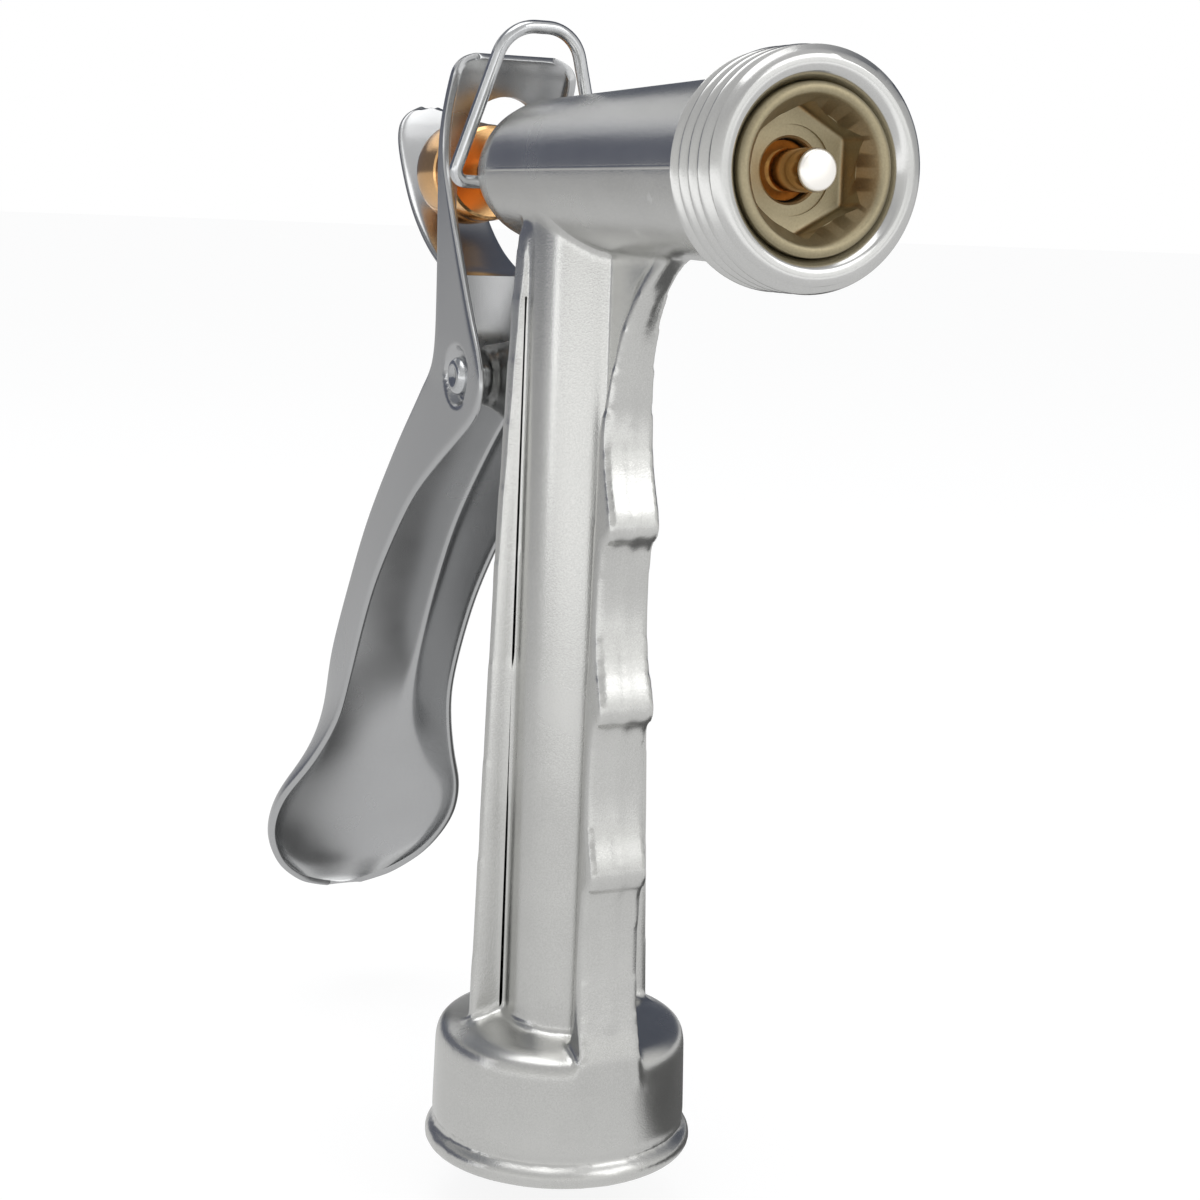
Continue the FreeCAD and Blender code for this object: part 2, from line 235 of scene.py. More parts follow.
collar = turned("collar", [
    (0, 0), (0, 17.3), (0.35, 17.95), (0.95, 18.3), (1.8, 18.3), (2.5, 18.0), (2.9, 17.45),
    (3.2, 16.9), (3.8, 16.95), (4.3, 17.35), (14.9, 17.1), (16.2, 16.8), (17.1, 16.1),
    (17.6, 15.0), (19.3, 9.4), (19.3, 0)], UP, steps=128)
tube = turned("tube", [(17, 0), (17, 8.7), (133, 8.0), (133, 0)], UP, Vector((2.5 * MM, 0, 0)))
wings = drawn_up(block((-0.00075, 0, 0.017), (0.0017, 0.0266, 0.001)),
                 ((0.0675, 2.6 / 1.7, 21.8 / 26.6), (0.030, 3.5 / 2.6, 18.4 / 21.8),
                  (0.009, 1.0, 17.0 / 18.4), (0.004, 0.9, 14.0 / 17.0)), (0.0001, 0, 0))
rounded(wings, 0.55)

GRIP_FRONT = [
    (16.85, 13.0), (17.05, 16.2), (16.7, 18.2), (16.1, 21.0), (15.4, 27.0), (15.3, 33.0),
    (15.6, 37.5), (16.0, 39.6), (17.0, 40.5), (17.4, 41.8), (17.1, 43.8), (16.0, 47.5),
    (15.5, 52.0), (15.6, 57.0), (16.0, 60.4), (16.5, 61.7), (17.6, 62.5), (18.0, 63.8),
    (17.7, 65.9), (16.4, 70.0), (15.6, 75.5), (15.8, 81.0), (16.2, 84.2), (16.8, 85.5),
    (17.9, 86.3), (18.3, 87.6), (18.0, 89.8), (16.6, 93.8), (15.7, 98.5), (15.9, 103.5),
    (17.0, 109.0), (19.2, 113.8), (22.3, 117.8), (26.5, 121.0), (31.5, 123.2)]
GRIP_BACK = [(28.5, 124.4), (24.0, 122.2), (19.6, 118.5), (16.6, 113.5), (14.6, 106.0),
             (13.2, 99.0), (12.8, 80.0), (12.6, 17.0)]
flange = slab("flange", curve_through(GRIP_FRONT, 4) + GRIP_BACK, 5)
taper = drawn_up(block((0.022, 0, 0.0125), (0.024, 0.0088, 0.001)),
                 ((0.087, 1, 0.80), (0.012, 1, 0.72), (0.007, 1, 0.68), (0.007, 1, 0.70)),
                 (0.022, 0, 0))
cut(flange, taper, "INTERSECT")
rounded(flange, 0.5, 50)
web = slab("web", [(6, 17), (14.5, 17), (14.2, 99), (17.5, 113), (21, 118.5), (27, 123.5),
                   (27, 126), (6, 126)], 1.15)
crease = slab("crease", [(x + 0.16, z) for x, z in curve_through(GRIP_FRONT[3:-2], 3)]
              + [(18, 112), (13.5, 99), (13.5, 22)], 0.4)

tang = rounded(slab("tang", [(2, 112), (-23.2, 108.3), (-23.2, 99.3), (2, 94)], 4.2), 0.5)
tip = turned("tip", [(-4.2, 0), (-4.2, 4.5), (4.2, 4.5), (4.2, 0)], ACROSS, RIVET_PLACE, 48)
boss = turned("boss", [(-5, 0), (-5, 4.0), (-4.6, 4.4), (4.6, 4.4), (5, 4.0), (5, 0)],
              ACROSS, RIVET_PLACE, 48)
barrel = turned("barrel", [
    (-24, 0), (-24, 5.5), (-23.5, 6.2), (-21.5, 7.1), (-19, 8.0), (-15.5, 9.1), (-12, 9.7),
    (-6, 9.85), (51.6, 10.8), (51.6, 0)], FORWARD, BARREL_LINE, 128)
parting = slab("parting", [(-15, 8.0), (51, 8.0), (51, 11.02), (20, 10.58), (-6, 10.1),
                           (-12, 9.92), (-15, 9.0)], 0.3)
rounded(parting, 0.14, segments=2)
pick(parting)
bpy.ops.transform.rotate(value=-math.pi / 2, orient_axis="X", center_override=(0, 0, 0))
bpy.ops.transform.translate(value=BARREL_LINE)
bpy.ops.object.transform_apply(location=True, rotation=True, scale=True)
pick(parting)
bpy.ops.object.duplicate()
parting_far = bpy.context.object
bpy.ops.transform.mirror(constraint_axis=(False, True, False), center_override=(0, 0, 0))
bpy.ops.object.transform_apply(location=True, rotation=True, scale=True)
bpy.ops.object.mode_set(mode="EDIT")
made_sound()

casting = joined("casting", collar, tube, wings, flange, web, crease, tang, tip, boss, barrel)
modified(casting, "REMESH", mode="VOXEL", voxel_size=VOXEL,
         adaptivity=0)
modified(casting, "SMOOTH", factor=0.5, iterations=9)

for hollow in (
        turned("inlet", [(-1, 0), (-1, 13.75), (9.5, 13.75), (12.5, 13.75), (12.5, 0)], UP),
        turned("channel", [(12, 0), (12, 5), (128, 5), (128, 0)], UP,
               Vector((2 * MM, 0, 0)), 48),
        turned("chamber", [(-10, 0), (-10, 7.2), (49.8, 7.2), (49.8, 9.5), (53, 9.5), (53, 0)],
               FORWARD, BARREL_LINE, 64),
        turned("packing", [(-25, 0), (-25, 4.52), (-16.5, 4.52), (-16.5, 2.46), (-9, 2.46),
                           (-9, 0)], FORWARD, BARREL_LINE, 48)):
    cut(casting, hollow)
for way in (-1, 1):
    cut(casting, turned("wire_hole", [(5.3, 0), (5.3, 0.93), (12, 0.93), (12, 0)],
                        ACROSS * way, WIRE_HOLE, 24))
cut(casting, turned("rivet_hole", [(-7, 0), (-7, 1.75), (7, 1.75), (7, 0)], ACROSS,
                    RIVET_PLACE, 32))
for way in (-1, 1):
    groove = block((-0.0001, way * 0.0089, 0.0195), (0.0010, 0.0008, 0.001))
    top_picked(groove)
    bpy.ops.transform.translate(value=(0, -0.0008 * way, 0.096))
    made_sound()
    cut(casting, groove)
cut(casting, parting, "UNION")
cut(casting, parting_far, "UNION")
smooth(casting, 40)
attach(casting, "body")
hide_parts("body_casting")


def feed(tree, socket, value):
    """Joins another node's output to a socket, or sets the socket's own number or colour."""
    if isinstance(value, bpy.types.NodeSocket):
        tree.links.new(value, socket)
    else:
        socket.default_value = value


def ranged(tree, value, span, to=(0, 1), soft=False):
    """Turns a value that runs over span into one that runs over to, evenly or softly."""
    node = tree.nodes.new("ShaderNodeMapRange")
    if soft:
        node.interpolation_type = "SMOOTHSTEP"
    node.inputs["From Min"].default_value, node.inputs["From Max"].default_value = span
    node.inputs["To Min"].default_value, node.inputs["To Max"].default_value = to
    feed(tree, node.inputs["Value"], value)
    return node.outputs["Result"]


def worked_out(tree, operation, *values):
    """A sum or product of the values."""
    node = tree.nodes.new("ShaderNodeMath")
    node.operation = operation
    for socket, value in zip(node.inputs, values):
        feed(tree, socket, value)
    return node.outputs["Value"]


def blended(tree, amount, first, second):
    """A colour from first to second, by an amount from 0 to 1."""
    node = tree.nodes.new("ShaderNodeMixRGB")
    for name, value in (("Fac", amount), ("Color1", first), ("Color2", second)):
        feed(tree, node.inputs[name], value)
    return node.outputs["Color"]


def noise(tree, place, scale, detail):
    """Soft noise of a given number of grains to the metre."""
    node = tree.nodes.new("ShaderNodeTexNoise")
    node.inputs["Scale"].default_value = scale
    node.inputs["Detail"].default_value = detail
    feed(tree, node.inputs["Vector"], place)
    return node.outputs["Fac"]


def bump(tree, shader, height, strength, distance):
    """Raises the surface by a height pattern, of a given depth in metres."""
    node = tree.nodes.new("ShaderNodeBump")
    node.inputs["Strength"].default_value = strength
    node.inputs["Distance"].default_value = distance
    feed(tree, node.inputs["Height"], height)
    feed(tree, shader.inputs["Normal"], node.outputs["Normal"])


def new_finish(name):
    """A new material, its node tree and its shader."""
    material = bpy.data.materials.new(name)
    material.use_nodes = True
    return material, material.node_tree, material.node_tree.nodes["Principled BSDF"]


def metal(name, colour, gloss, grain=0.0, grain_size=0.3, edge=0.0, streaks=None, cloud=0.06,
          mottle=0.09):
    """Bare metal: clouded gloss, fine grain or drawn streaks, and worn edges with a painted
    highlight.
    """
    material, tree, shader = new_finish(name)
    shader.inputs["Metallic"].default_value = 1.0
    place = tree.nodes.new("ShaderNodeTexCoord").outputs["Object"]
    mapping = tree.nodes.new("ShaderNodeMapping")
    feed(tree, mapping.inputs["Vector"], place)
    if streaks:
        mapping.inputs["Scale"].default_value = streaks
    clouds = noise(tree, place, 90, 4)
    fine = noise(tree, mapping.outputs["Vector"], 1 / (grain_size * MM), 3)
    darker = (*[c * (1 - mottle) for c in colour], 1)
    lighter = (*[min(1, c * (1 + mottle)) for c in colour], 1)
    speckle = ranged(tree, worked_out(tree, "ADD", clouds, fine), (0.75, 1.25))
    surface = blended(tree, speckle, darker, lighter)
    # Convex edges are lightened towards near white: partly wear from tumbling, partly a painted
    # highlight.
    if edge:
        pointed = tree.nodes.new("ShaderNodeNewGeometry").outputs["Pointiness"]
        worn_and_highlit = worked_out(tree, "MULTIPLY", ranged(tree, pointed, (0.52, 0.60)), edge)
        surface = blended(tree, worn_and_highlit, surface, (0.93, 0.93, 0.92, 1))
    feed(tree, shader.inputs["Base Color"], surface)
    feed(tree, shader.inputs["Roughness"],
         ranged(tree, clouds, (0.3, 0.7), (gloss - cloud, gloss + cloud)))
    if grain:
        bump(tree, shader, fine, grain, 0.00006)
    return material


def coated(piece, material):
    piece.data.materials.clear()
    piece.data.materials.append(material)


# The casting's edges get that lightening: partly tumbling wear, partly a painted highlight.
cast_zinc = metal("cast_zinc", (0.59, 0.59, 0.575), 0.25, grain=0.28, grain_size=0.22, edge=0.2,
                  cloud=0.04, mottle=0.06)
coated(casting, cast_zinc)


# ---- Outlet thread --------------------------------------------------------------------------
# The front of the same casting: a coarse hose thread of nearly four turns, rolled bright, with
# a rounded front rim and a chamfer into the socket that holds the brass insert.
HOSE_PITCH = 2.209


def guided(centre, along):
    """An empty whose z axis is the line to screw about."""
    guide = bpy.data.objects.new("guide", None)
    bpy.context.scene.collection.objects.link(guide)
    guide.location = centre
    guide.rotation_mode = "QUATERNION"
    guide.rotation_quaternion = UP.rotation_difference(along)
    return guide


def threaded_rod(name, root, crest, pitch, start, end, along, centre, steps):
    """A screw surface of the given root and crest radius, cut square and closed at both ends."""
    out = UP if along != UP else FORWARD
    rise = crest - root
    climb = [(0.14, 0), (0.34, 0.73), (0.38, 0.84), (0.42, 0.92), (0.46, 0.975)]
    tooth = ([(0, root)] + [(share, root + part * rise) for share, part in climb] + [(0.5, crest)]
             + [(1 - share, root + part * rise) for share, part in climb[::-1]] + [(1, root)])
    first = start - 1.5 * pitch
    piece = outline_started(name, [
        centre + along * ((first + share * pitch) * MM) + out * (radius * MM)
        for share, radius in tooth])
    bpy.ops.object.mode_set(mode="OBJECT")
    guide = guided(centre, along)
    turns = math.ceil((end - start) / pitch) + 2
    modified(piece, "SCREW", axis="Z", object=guide, angle=2 * math.pi, screw_offset=pitch * MM,
             iterations=turns, steps=steps, render_steps=steps, use_merge_vertices=True,
             merge_threshold=0.00001)
    bpy.data.objects.remove(guide)
    bpy.ops.object.mode_set(mode="EDIT")
    for station, above in ((end, True), (start, False)):
        bpy.ops.mesh.select_all(action="SELECT")
        bpy.ops.mesh.bisect(plane_co=centre + along * (station * MM), plane_no=along, use_fill=True,
                            clear_outer=above, clear_inner=not above)
    made_sound()
    return piece


outlet = threaded_rod("outlet_thread", 12.0, 13.4, HOSE_PITCH, 50.7, 60.6, FORWARD,
                      BARREL_LINE, 128)
cut(outlet, turned("envelope", [
    (51.0, 9.5), (51.0, 13.1), (51.5, 13.6), (59.1, 13.6), (59.8, 12.75), (60.15, 12.35),
    (60.3, 11.9), (60.3, 10.75), (60.1, 10.45), (58.9, 9.6), (58.5, 9.5)],
    FORWARD, BARREL_LINE, 128), "INTERSECT")
smooth(outlet, 50)
coated(outlet, metal("rolled_thread", (0.57, 0.57, 0.56), 0.18, grain=0.05, grain_size=0.2,
                     cloud=0.03, mottle=0.03))
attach(outlet, "body")


# ---- Inlet thread ---------------------------------------------------------------------------
# The female hose thread inside the collar, cast with the body. A male hose end screws into it
# until it meets the rubber washer.
inlet_thread = turned("inlet_thread", [(0.6, 12.0), (0.6, 13.76), (9.3, 13.76), (9.3, 12.0)], UP)
cut(inlet_thread, threaded_rod("hose_end", 12.7, 13.45, HOSE_PITCH, 0.2, 9.8, UP,
                               Vector((0, 0, 0)), 96))
smooth(inlet_thread, 50)
coated(inlet_thread, cast_zinc)
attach(inlet_thread, "body")


# ---- Brass insert ---------------------------------------------------------------------------
# A turned retainer pressed in the barrel's mouth. A hexagon socket lets a key screw it home,
# and the water leaves through the round hole in its floor, past the stem's tip.
insert = turned("insert", [
    (50.9, 0), (50.9, 9.45), (59.3, 9.45), (59.65, 9.3), (59.85, 9.0), (59.9, 8.7),
    (59.85, 8.4), (59.65, 8.15), (59.2, 7.95), (56.9, 6.55), (56.9, 0)],
    FORWARD, BARREL_LINE)
pick_nothing()
bpy.ops.mesh.primitive_cylinder_add(vertices=6, radius=0.0075, depth=0.0060,
                                    location=(0.057, 0, BARREL_HEIGHT),
                                    rotation=(0, math.pi / 2, 0))
key_socket = bpy.context.object
bpy.ops.object.transform_apply(location=True, rotation=True, scale=True)
bpy.ops.transform.rotate(value=math.pi / 6, orient_axis="X",
                         center_override=(0, 0, BARREL_HEIGHT))
bpy.ops.object.transform_apply(location=True, rotation=True, scale=True)
cut(insert, rounded(key_socket, 0.5, 50))
cut(insert, turned("orifice", [
    (50, 0), (50, 3.55), (53.5, 3.55), (53.7, 3.8), (53.7, 5.0), (54.5, 5.0), (54.5, 0)],
    FORWARD, BARREL_LINE, 64))
smooth(insert, 35)
coated(insert, metal("dull_brass", (0.37, 0.32, 0.21), 0.46, grain=0.2, grain_size=0.25))
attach(insert, "body")
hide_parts("nozzle_insert")


# ---- Valve stem -----------------------------------------------------------------------------
# A polished brass rod through the barrel. Its tip shows in the insert, the valve discs sit
# behind, and its rear end is threaded for the adjusting nut.
TIP_FACE = 0.05975
stem = turned("stem", [
    (-34, 0), (-34, 2.38), (50.75, 2.38), (50.75, 3.3), (52.4, 3.3), (53.3, 2.38),
    (59.7, 2.38), (60.1, 2.25), (60.3, 1.95), (60.3, 0)], FORWARD, BARREL_LINE, 64)
stem = joined("valve_stem_rod", stem, threaded_rod(
    "stem_thread", 2.05, 2.4, 0.8, -51.0, -33.8, FORWARD, BARREL_LINE, 32))
smooth(stem, 40)
bright_brass = metal("bright_brass", (0.88, 0.53, 0.24), 0.17, grain=0.06, grain_size=0.25,
                     cloud=0.04)
coated(stem, bright_brass)
# The brass rod's end face is coloured near white, a painted highlight for the bright disc it shows.
stem.data.materials.append(metal("tip_painted_highlight", (1.0, 0.97, 0.92), 0.36, cloud=0.03,
                                 mottle=0.0))
for face in stem.data.polygons:
    if face.center.x > TIP_FACE:
        face.material_index = 1
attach(stem, "stem")
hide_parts("valve_stem")


# ---- Adjusting nut --------------------------------------------------------------------------
# A round crowned brass nut on the stem's rear end. The lever's web pushes its front face, and
# turning it sets how far the lever opens the valve.
nut = turned("nut", [
    (-47.6, 2.5), (-47.6, 5.2), (-47.3, 5.8), (-46.6, 6.6), (-45.9, 7.15), (-45.0, 7.5),
    (-43.8, 7.6), (-42.2, 7.55), (-40.6, 7.4), (-38.9, 7.2), (-38.6, 6.95), (-38.2, 6.95),
    (-37.9, 7.1), (-36.2, 7.0), (-34.7, 6.9), (-34.0, 6.7), (-33.65, 6.3), (-33.65, 2.5)],
    FORWARD, BARREL_LINE)
smooth(nut, 30)
coated(nut, bright_brass)
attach(nut, "nut")
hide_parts("adjusting_nut")


# ---- Squeeze lever --------------------------------------------------------------------------
# Pressed from one steel sheet into a channel that widens to a spoon for the palm. Its arched
# window lets the stem through, and the tongue lanced out of it is bent back behind the nut.
LEVER = [((-26.2, 148.75), (-25.9, 148.7), 5.7, 5.7), ((-26.6, 148.2), (-25.8, 148.0), 7.6, 7.6),
         ((-27.2, 147.1), (-25.8, 146.8), 8.8, 8.9), ((-28.3, 145.2), (-26.1, 144.8), 9.3, 9.4),
         ((-31.3, 139.5), (-28.8, 139.2), 9.3, 9.4), ((-32.8, 134.0), (-29.3, 133.8), 9.2, 9.3),
         ((-33.4, 128.0), (-27.4, 128.6), 9.1, 9.2), ((-33.4, 120.0), (-23.4, 120.8), 9.0, 9.1),
         ((-33.4, 113.0), (-19.0, 112.8), 9.0, 9.0), ((-33.6, 108.5), (-15.6, 107.6), 9.0, 9.0),
         ((-34.6, 105.5), (-14.0, 103.2), 8.9, 9.0), ((-36.4, 103.4), (-16.0, 98.8), 8.8, 9.0),
         ((-38.8, 101.4), (-22.5, 94.8), 8.8, 9.1), ((-42.2, 98.6), (-31.0, 90.0), 8.7, 9.3),
         ((-50.4, 91.6), (-41.2, 83.3), 8.5, 9.5), ((-63.0, 79.1), (-53.8, 71.3), 8.3, 9.6),
         ((-72.1, 66.9), (-61.2, 62.0), 8.3, 9.5), ((-79.7, 54.7), (-67.8, 50.8), 8.5, 9.6),
         ((-83.8, 45.5), (-70.9, 43.8), 8.6, 10.4), ((-88.4, 36.8), (-75.8, 36.0), 8.4, 13.0),
         ((-92.6, 28.4), (-81.4, 28.6), 8.0, 16.2), ((-95.4, 21.0), (-85.6, 21.6), 7.6, 16.6),
         ((-96.7, 14.6), (-89.8, 14.9), 6.6, 13.6), ((-96.6, 10.4), (-93.2, 10.6), 4.6, 9.0),
         ((-96.3, 8.9), (-94.8, 9.0), 3.2, 5.6), ((-96.0, 8.2), (-95.3, 8.25), 1.6, 2.6)]
FLANGE_PARTS, BEND_PARTS, WEB_PARTS = 6, 5, 5
BEND = 2.4
BOWL_TOP, BOWL_FADE = 52, 24
SHEET = 1.2 * MM
DIMPLE_REACH, DIMPLE_SLOPE, DIMPLE_DEPTH = 4.6, 1.3, 1.35 * MM


def lever_section(station):
    """Points across the sheet's outer face at one station, from one edge to the other."""
    web_x, web_z, edge_x, edge_z, web_half, edge_half = station
    depth = math.hypot(edge_x - web_x, edge_z - web_z)
    ahead = Vector(((edge_x - web_x) / depth, 0, (edge_z - web_z) / depth))
    bend = min(BEND, 0.45 * depth)
    lip = web_half + (edge_half - web_half) * bend / depth
    half = [(edge_half + (lip - edge_half) * i / FLANGE_PARTS,
             depth + (bend - depth) * i / FLANGE_PARTS) for i in range(FLANGE_PARTS)]
    for i in range(BEND_PARTS):
        t = i / BEND_PARTS
        half.append((lip * (1 - t) ** 2 + 2 * web_half * t * (1 - t) + (web_half - bend) * t * t,
                     bend * (1 - t) ** 2))
    half += [((web_half - bend) * (1 - i / WEB_PARTS), 0) for i in range(WEB_PARTS + 1)]
    bowl = min(1, max(0, (BOWL_TOP - edge_z) / BOWL_FADE))
    bowl = bowl * bowl * (3 - 2 * bowl)
    mixed = []
    for i, (y, s) in enumerate(half):
        angle = math.pi / 2 * (1 - i / (len(half) - 1))
        mixed.append((y + (edge_half * math.sin(angle) - y) * bowl,
                      s + (depth * (1 - math.cos(angle) ** 0.9) - s) * bowl))
    at = Vector((web_x, 0, web_z))
    whole = ([at + ahead * s - ACROSS * y for y, s in mixed]
             + [at + ahead * s + ACROSS * y for y, s in mixed[-2::-1]])
    return [point * MM for point in whole]


def sheet_through(rows):
    """A sheet through rows of points, with all its faces turned the same way."""
    pick_nothing()
    bpy.ops.mesh.primitive_grid_add(x_subdivisions=len(rows) - 1,
                                    y_subdivisions=len(rows[0]) - 1, size=1)
    piece = bpy.context.object
    in_order = sorted(piece.data.vertices, key=lambda v: (round(v.co.x, 4), round(v.co.y, 4)))
    for vertex, point in zip(in_order, [point for row in rows for point in row]):
        vertex.co = point
    bpy.ops.object.mode_set(mode="EDIT")
    bpy.ops.mesh.select_all(action="SELECT")
    bpy.ops.mesh.normals_make_consistent(inside=False)
    bpy.ops.object.mode_set(mode="OBJECT")
    return piece


lever = sheet_through([lever_section(row) for row in curve_through(
    [(*w, *e, a, b) for w, e, a, b in LEVER], 3)])
facing = sum(p.normal.x for p in lever.data.polygons if abs(p.normal.x) > 0.9)
modified(lever, "SOLIDIFY", thickness=SHEET, offset=-1 if facing < 0 else 1)
modified(lever, "SUBSURF", levels=2, render_levels=2)
for vertex in lever.data.vertices:
    reach = math.hypot(vertex.co.x - RIVET_PLACE.x, vertex.co.z - RIVET_PLACE.z) / MM
    if reach < DIMPLE_REACH:
        sink = min(1, (DIMPLE_REACH - reach) / DIMPLE_SLOPE)
        vertex.co.y -= math.copysign(DIMPLE_DEPTH * sink * sink * (3 - 2 * sink), vertex.co.y)
window = turned("window", [(-40, 0), (-40, 6.0), (-20, 6.0), (-20, 0)], FORWARD, UP * 0.137, 48)
cut(window, block((-0.030, 0, 0.1273), (0.02, 0.012, 0.0194)), "UNION")
cut(lever, window)
for way in (-1, 1):
    cut(lever, turned("rivet_way", [(4, 0), (4, 1.9), (12, 1.9), (12, 0)], ACROSS * way,
                      RIVET_PLACE, 32))

TONGUE = [(-32.9, 115.6, 5.8), (-33.6, 117.2, 5.8), (-37.2, 118.2, 5.85), (-42.6, 120.4, 5.9),
          (-47.6, 123.5, 5.95), (-51.8, 127.2, 6.0), (-55.2, 131.4, 6.0), (-57.9, 136.0, 6.0),
          (-59.2, 138.9, 5.6), (-59.85, 140.6, 4.7), (-60.25, 141.8, 3.2), (-60.4, 142.3, 1.2)]
CROWN = 0.25
tongue = sheet_through([
    [Vector((x + CROWN * share * share, half * share, z)) * MM
     for share in (k / 4 - 1 for k in range(9))]
    for x, z, half in curve_through(TONGUE, 3)])
modified(tongue, "SOLIDIFY", thickness=SHEET, offset=0)
modified(tongue, "SUBSURF", levels=2, render_levels=2)
lever = joined("squeeze_lever", lever, tongue)
smooth(lever, 40)
coated(lever, metal("pressed_steel", (0.50, 0.505, 0.51), 0.25, grain=0.08, grain_size=0.2,
                    cloud=0.03, mottle=0.04))
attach(lever, "lever")
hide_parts("lever")


# ---- Pivot rivet ----------------------------------------------------------------------------
# A plated rivet through both flanges and the tang. Each head is domed with a rolled rim and a
# shallow hollow in the middle, where the tool closed it.
rivet = turned("rivet", [
    (-9.0, 0), (-9.1, 0.9), (-9.4, 1.35), (-9.45, 1.7), (-9.3, 2.2), (-8.8, 2.6), (-8.2, 2.75),
    (-7.65, 2.75), (-7.65, 1.7), (7.65, 1.7), (7.65, 2.75), (8.2, 2.75), (8.8, 2.6), (9.3, 2.2),
    (9.45, 1.7), (9.4, 1.35), (9.1, 0.9), (9.0, 0)], ACROSS, RIVET_PLACE, 48)
smooth(rivet, 40)
coated(rivet, metal("rivet_steel", (0.55, 0.56, 0.57), 0.20, grain=0.1, grain_size=0.2))
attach(rivet, "lever")
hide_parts("pivot_rivet")


# ---- Hold-open wire -------------------------------------------------------------------------
# Bright drawn spring wire bent to a loop. Its two ends turn in and spring into holes in the
# sides of the barrel, and it swings back over the lever to hold the valve open.
coated(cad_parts["hold_open_wire"],
       metal("drawn_wire", (0.60, 0.61, 0.62), 0.17, grain=0.08, streaks=(1, 1, 0.1)))


# ---- Return spring --------------------------------------------------------------------------
# A steel coil round the stem inside the barrel. It pushes the valve shut. On the real nozzle
# it shortens as the lever is squeezed; this coil rides with the body at one length.
COILS, COIL_LENGTH, COIL_RADIUS, COIL_WIRE = 11, 0.0538, 0.0046, 0.0006
pick_nothing()
bpy.ops.mesh.primitive_circle_add(vertices=12, radius=COIL_WIRE,
                                  location=(-0.00825, 0, BARREL_HEIGHT + COIL_RADIUS),
                                  rotation=(math.pi / 2, 0, 0))
spring = bpy.context.object
spring.name = "coil_spring"
bpy.ops.object.transform_apply(location=True, rotation=True, scale=True)
guide = guided(BARREL_LINE, FORWARD)
modified(spring, "SCREW", axis="Z", object=guide, angle=2 * math.pi,
         screw_offset=COIL_LENGTH / COILS, iterations=COILS, steps=36, render_steps=36)
bpy.data.objects.remove(guide)
bpy.ops.object.mode_set(mode="EDIT")
bpy.ops.mesh.select_all(action="DESELECT")
bpy.ops.mesh.select_non_manifold()
bpy.ops.mesh.fill_holes(sides=0)
made_sound()
smooth(spring, 40)
coated(spring, metal("coil_steel", (0.50, 0.50, 0.51), 0.25, grain=0.1, grain_size=0.2))
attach(spring, "body")
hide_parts("return_spring")
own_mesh(spring)


# ---- Washers, packing and gland -------------------------------------------------------------
# Rubber rings seal the inlet, the insert, the valve and the stem. A brass bush at the rear of
# the barrel holds the stem packing in its pocket.
def rubber(name, colour):
    """Moulded black rubber, slightly mottled and powdery."""
    material, tree, shader = new_finish(name)
    place = tree.nodes.new("ShaderNodeTexCoord").outputs["Object"]
    mottle = noise(tree, place, 900, 2)
    ramp = tree.nodes.new("ShaderNodeValToRGB")
    ramp.color_ramp.elements[0].color = (*[c * 0.7 for c in colour], 1)
    ramp.color_ramp.elements[1].color = (*[c * 1.6 for c in colour], 1)
    feed(tree, ramp.inputs["Fac"], mottle)
    feed(tree, shader.inputs["Base Color"], ramp.outputs["Color"])
    bump(tree, shader, mottle, 0.3, 0.00005)
    shader.inputs["Roughness"].default_value = 0.62
    return material


black_rubber = rubber("black_rubber", (0.03, 0.03, 0.031))
for node in ("insert_gasket", "stem_packing", "valve_washer"):
    coated(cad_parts[node], black_rubber)
for node in ("gland_bush", "backing_washer"):
    coated(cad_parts[node], bright_brass)
coated(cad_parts["spring_seat_washer"], metal("washer_steel", (0.5, 0.5, 0.5), 0.3, grain=0.1))
washer = turned("hose_washer", [
    (9.6, 8.2), (9.6, 13.3), (9.8, 13.55), (12.2, 13.55), (12.4, 13.3), (12.4, 8.2),
    (12.2, 8.0), (9.8, 8.0)], UP)
smooth(washer, 40)
coated(washer, black_rubber)
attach(washer, "body")
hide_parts("inlet_washer")


# ---- Floor and light ------------------------------------------------------------------------
# A pale plain table in a soft white studio, 9.5 mm below the nozzle so that the squeezed
# lever's tip clears it. The metal reflects a bright front, a blue grey wall behind, and a
# table with a painted shadow in one patch and painted light that is dimmer to the rear and
# brighter in front; the camera sees the table evenly pale.
FLOOR_GAP = 0.0095
pick_nothing()
bpy.ops.mesh.primitive_plane_add(size=40, location=(0, 0, cad_low.z - FLOOR_GAP))
floor = bpy.context.object
floor.name = "floor"
pale, tree, shader = new_finish("pale_floor")
tree.nodes.remove(shader)
matt = tree.nodes.new("ShaderNodeBsdfDiffuse")
matt.inputs["Color"].default_value = (0.22, 0.22, 0.22, 1)
lit = tree.nodes.new("ShaderNodeEmission")
lit.inputs["Strength"].default_value = 0.86
shown = tree.nodes.new("ShaderNodeAddShader")
feed(tree, shown.inputs[0], matt.outputs["BSDF"])
feed(tree, shown.inputs[1], lit.outputs["Emission"])
place = tree.nodes.new("ShaderNodeTexCoord").outputs["Object"]
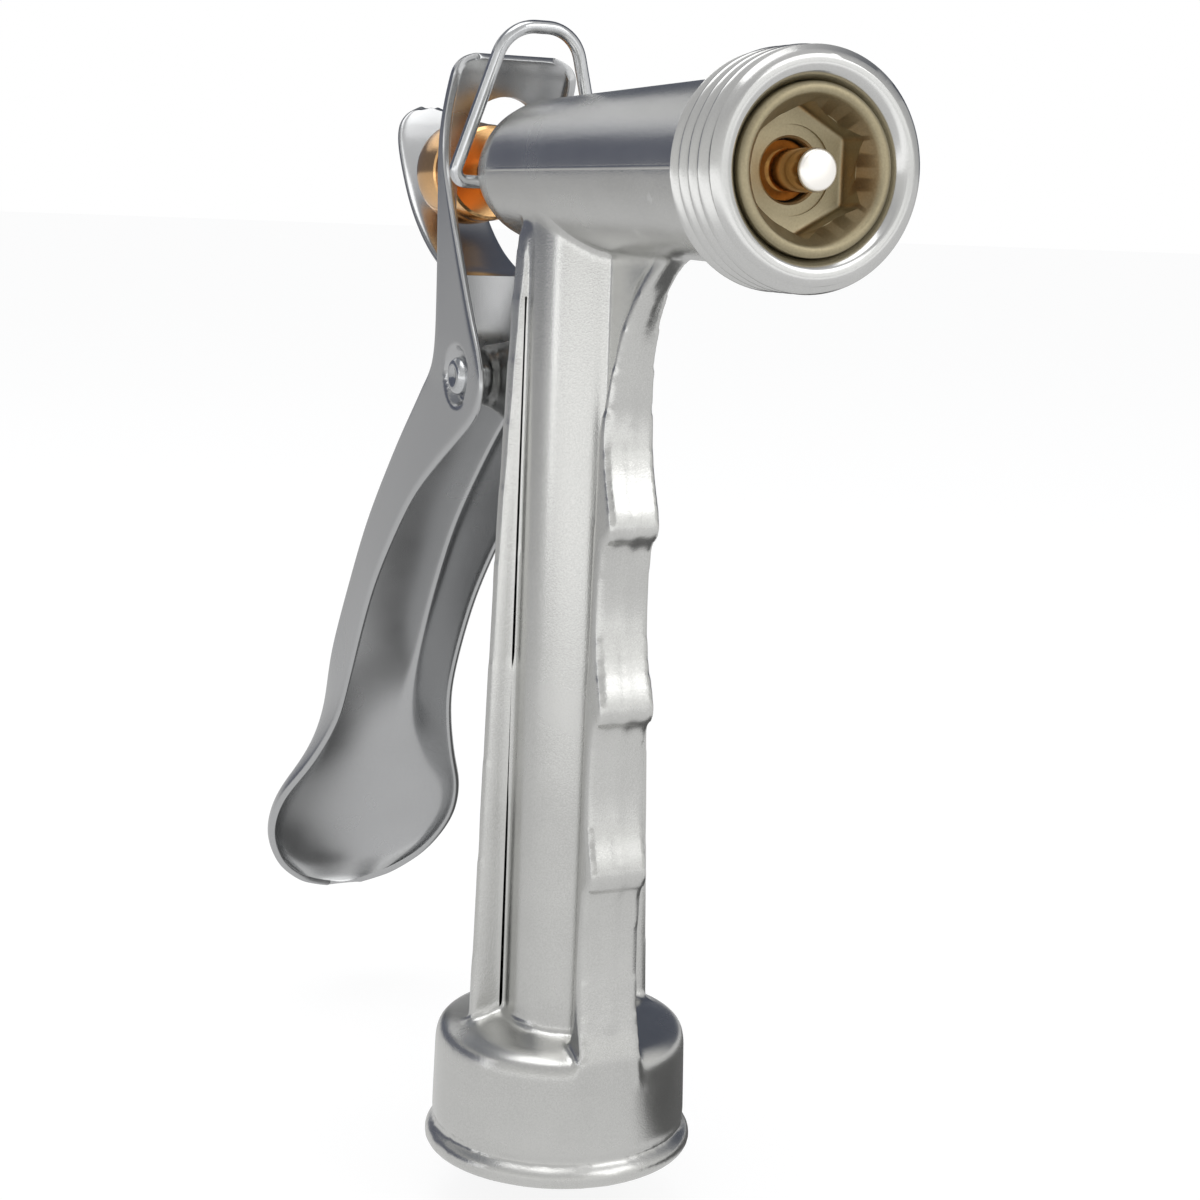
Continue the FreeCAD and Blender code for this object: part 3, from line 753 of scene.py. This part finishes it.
# A painted shadow on the table, seen only in reflections, where the handle's shade would fall.
shadow_patch = tree.nodes.new("ShaderNodeMapping")
shadow_patch.vector_type = "TEXTURE"
shadow_patch.inputs["Location"].default_value = (-0.022, 0.078, 0)
shadow_patch.inputs["Rotation"].default_value = (0, 0, 0.262)
shadow_patch.inputs["Scale"].default_value = (0.095, 0.05, 1)
feed(tree, shadow_patch.inputs["Vector"], place)
span = tree.nodes.new("ShaderNodeVectorMath")
span.operation = "LENGTH"
feed(tree, span.inputs[0], shadow_patch.outputs["Vector"])
table = tree.nodes.new("ShaderNodeSeparateXYZ")
feed(tree, table.inputs["Vector"], place)
painted_shadow = ranged(tree, span.outputs["Value"], (0.95, 1.22), (0.14, 0.86), soft=True)
# Painted light on the reflected table: dimmer to the rear and brighter in front.
rear_dim = ranged(tree, table.outputs["X"], (-0.8, 0.35), (0.62, 1.0), soft=True)
toward_front = worked_out(tree, "MULTIPLY_ADD", table.outputs["Y"], -0.8, table.outputs["X"])
front_glow = ranged(tree, toward_front, (0.42, 0.75), (1.0, 1.75))
dimmed = worked_out(tree, "MULTIPLY", painted_shadow, rear_dim)
mirrored = tree.nodes.new("ShaderNodeEmission")
feed(tree, mirrored.inputs["Strength"], worked_out(tree, "MULTIPLY", dimmed, front_glow))
either = tree.nodes.new("ShaderNodeMixShader")
feed(tree, either.inputs["Fac"], tree.nodes.new("ShaderNodeLightPath").outputs["Is Camera Ray"])
feed(tree, either.inputs[1], mirrored.outputs["Emission"])
feed(tree, either.inputs[2], shown.outputs["Shader"])
feed(tree, tree.nodes["Material Output"].inputs["Surface"], either.outputs["Shader"])
coated(floor, pale)


def panel(name, place, wide, tall, glow):
    """A soft light of the given brightness, aimed at the middle of the nozzle."""
    light_data = bpy.data.lights.new(name, "AREA")
    light_data.shape = "RECTANGLE"
    light_data.size, light_data.size_y = wide, tall
    light_data.energy = glow * math.pi * wide * tall
    light = bpy.data.objects.new(name, light_data)
    bpy.context.scene.collection.objects.link(light)
    light.location = place
    light.rotation_mode = "QUATERNION"
    aim = Vector((0, 0, 0.08)) - Vector(place)
    light.rotation_quaternion = aim.to_track_quat("-Z", "Y")


panel("ceiling", (0.15, -0.25, 1.3), 0.9, 0.9, 1.5)
panel("front_upper", (0.85, 0.5, 0.72), 0.7, 0.5, 1.6)
panel("front_right", (1.0, 0.55, 0.38), 0.7, 0.4, 0.5)
panel("left_strip", (-0.05, -1.1, 0.15), 0.16, 0.9, 1.2)
panel("behind", (-1.1, -0.12, 0.60), 0.7, 0.2, 0.5)

world = bpy.data.worlds.new("studio")
bpy.context.scene.world = world
world.use_nodes = True
room = world.node_tree
ways = room.nodes.new("ShaderNodeSeparateXYZ")
feed(room, ways.inputs["Vector"], room.nodes.new("ShaderNodeTexCoord").outputs["Generated"])
height = ranged(room, ways.outputs["Z"], (-1, 1))


def wall(steps):
    """Room brightness by height, from straight down at 0 to straight up at 1."""
    node = room.nodes.new("ShaderNodeValToRGB")
    elements = node.color_ramp.elements
    while len(elements) < len(steps):
        elements.new(0.5)
    for element, (position, tone) in zip(elements, steps):
        element.position = position
        element.color = (*tone, 1)
    feed(room, node.inputs["Fac"], height)
    return node.outputs["Color"]


rear_wall = wall([(0.0, (0.5, 0.5, 0.5)), (0.500, (0.15, 0.16, 0.20)), (0.690, (0.14, 0.15, 0.19)),
                  (0.705, (0.55, 0.55, 0.54)), (0.76, (0.50, 0.50, 0.49)),
                  (0.80, (0.24, 0.25, 0.28)), (0.92, (0.30, 0.31, 0.33)),
                  (1.0, (0.75, 0.75, 0.75))])
front_wall = wall([(0.0, (0.7, 0.7, 0.7)), (0.50, (0.86, 0.86, 0.85)), (0.60, (0.80, 0.80, 0.79)),
                   (0.75, (0.66, 0.66, 0.66)), (1.0, (0.80, 0.80, 0.80))])
beside = ranged(room, ways.outputs["Y"], (0.05, 0.32), soft=True)
rear_room = blended(room, beside, rear_wall, (0.10, 0.11, 0.14, 1))
toward = ranged(room, ways.outputs["X"], (-0.35, 0.35), soft=True)
walls = blended(room, toward, rear_room, front_wall)
straight = room.nodes.new("ShaderNodeLightPath").outputs["Is Camera Ray"]
feed(room, room.nodes["Background"].inputs["Color"],
     blended(room, straight, walls, (1.0, 1.0, 1.0, 1)))
bpy.context.scene.view_settings.view_transform = "Standard"
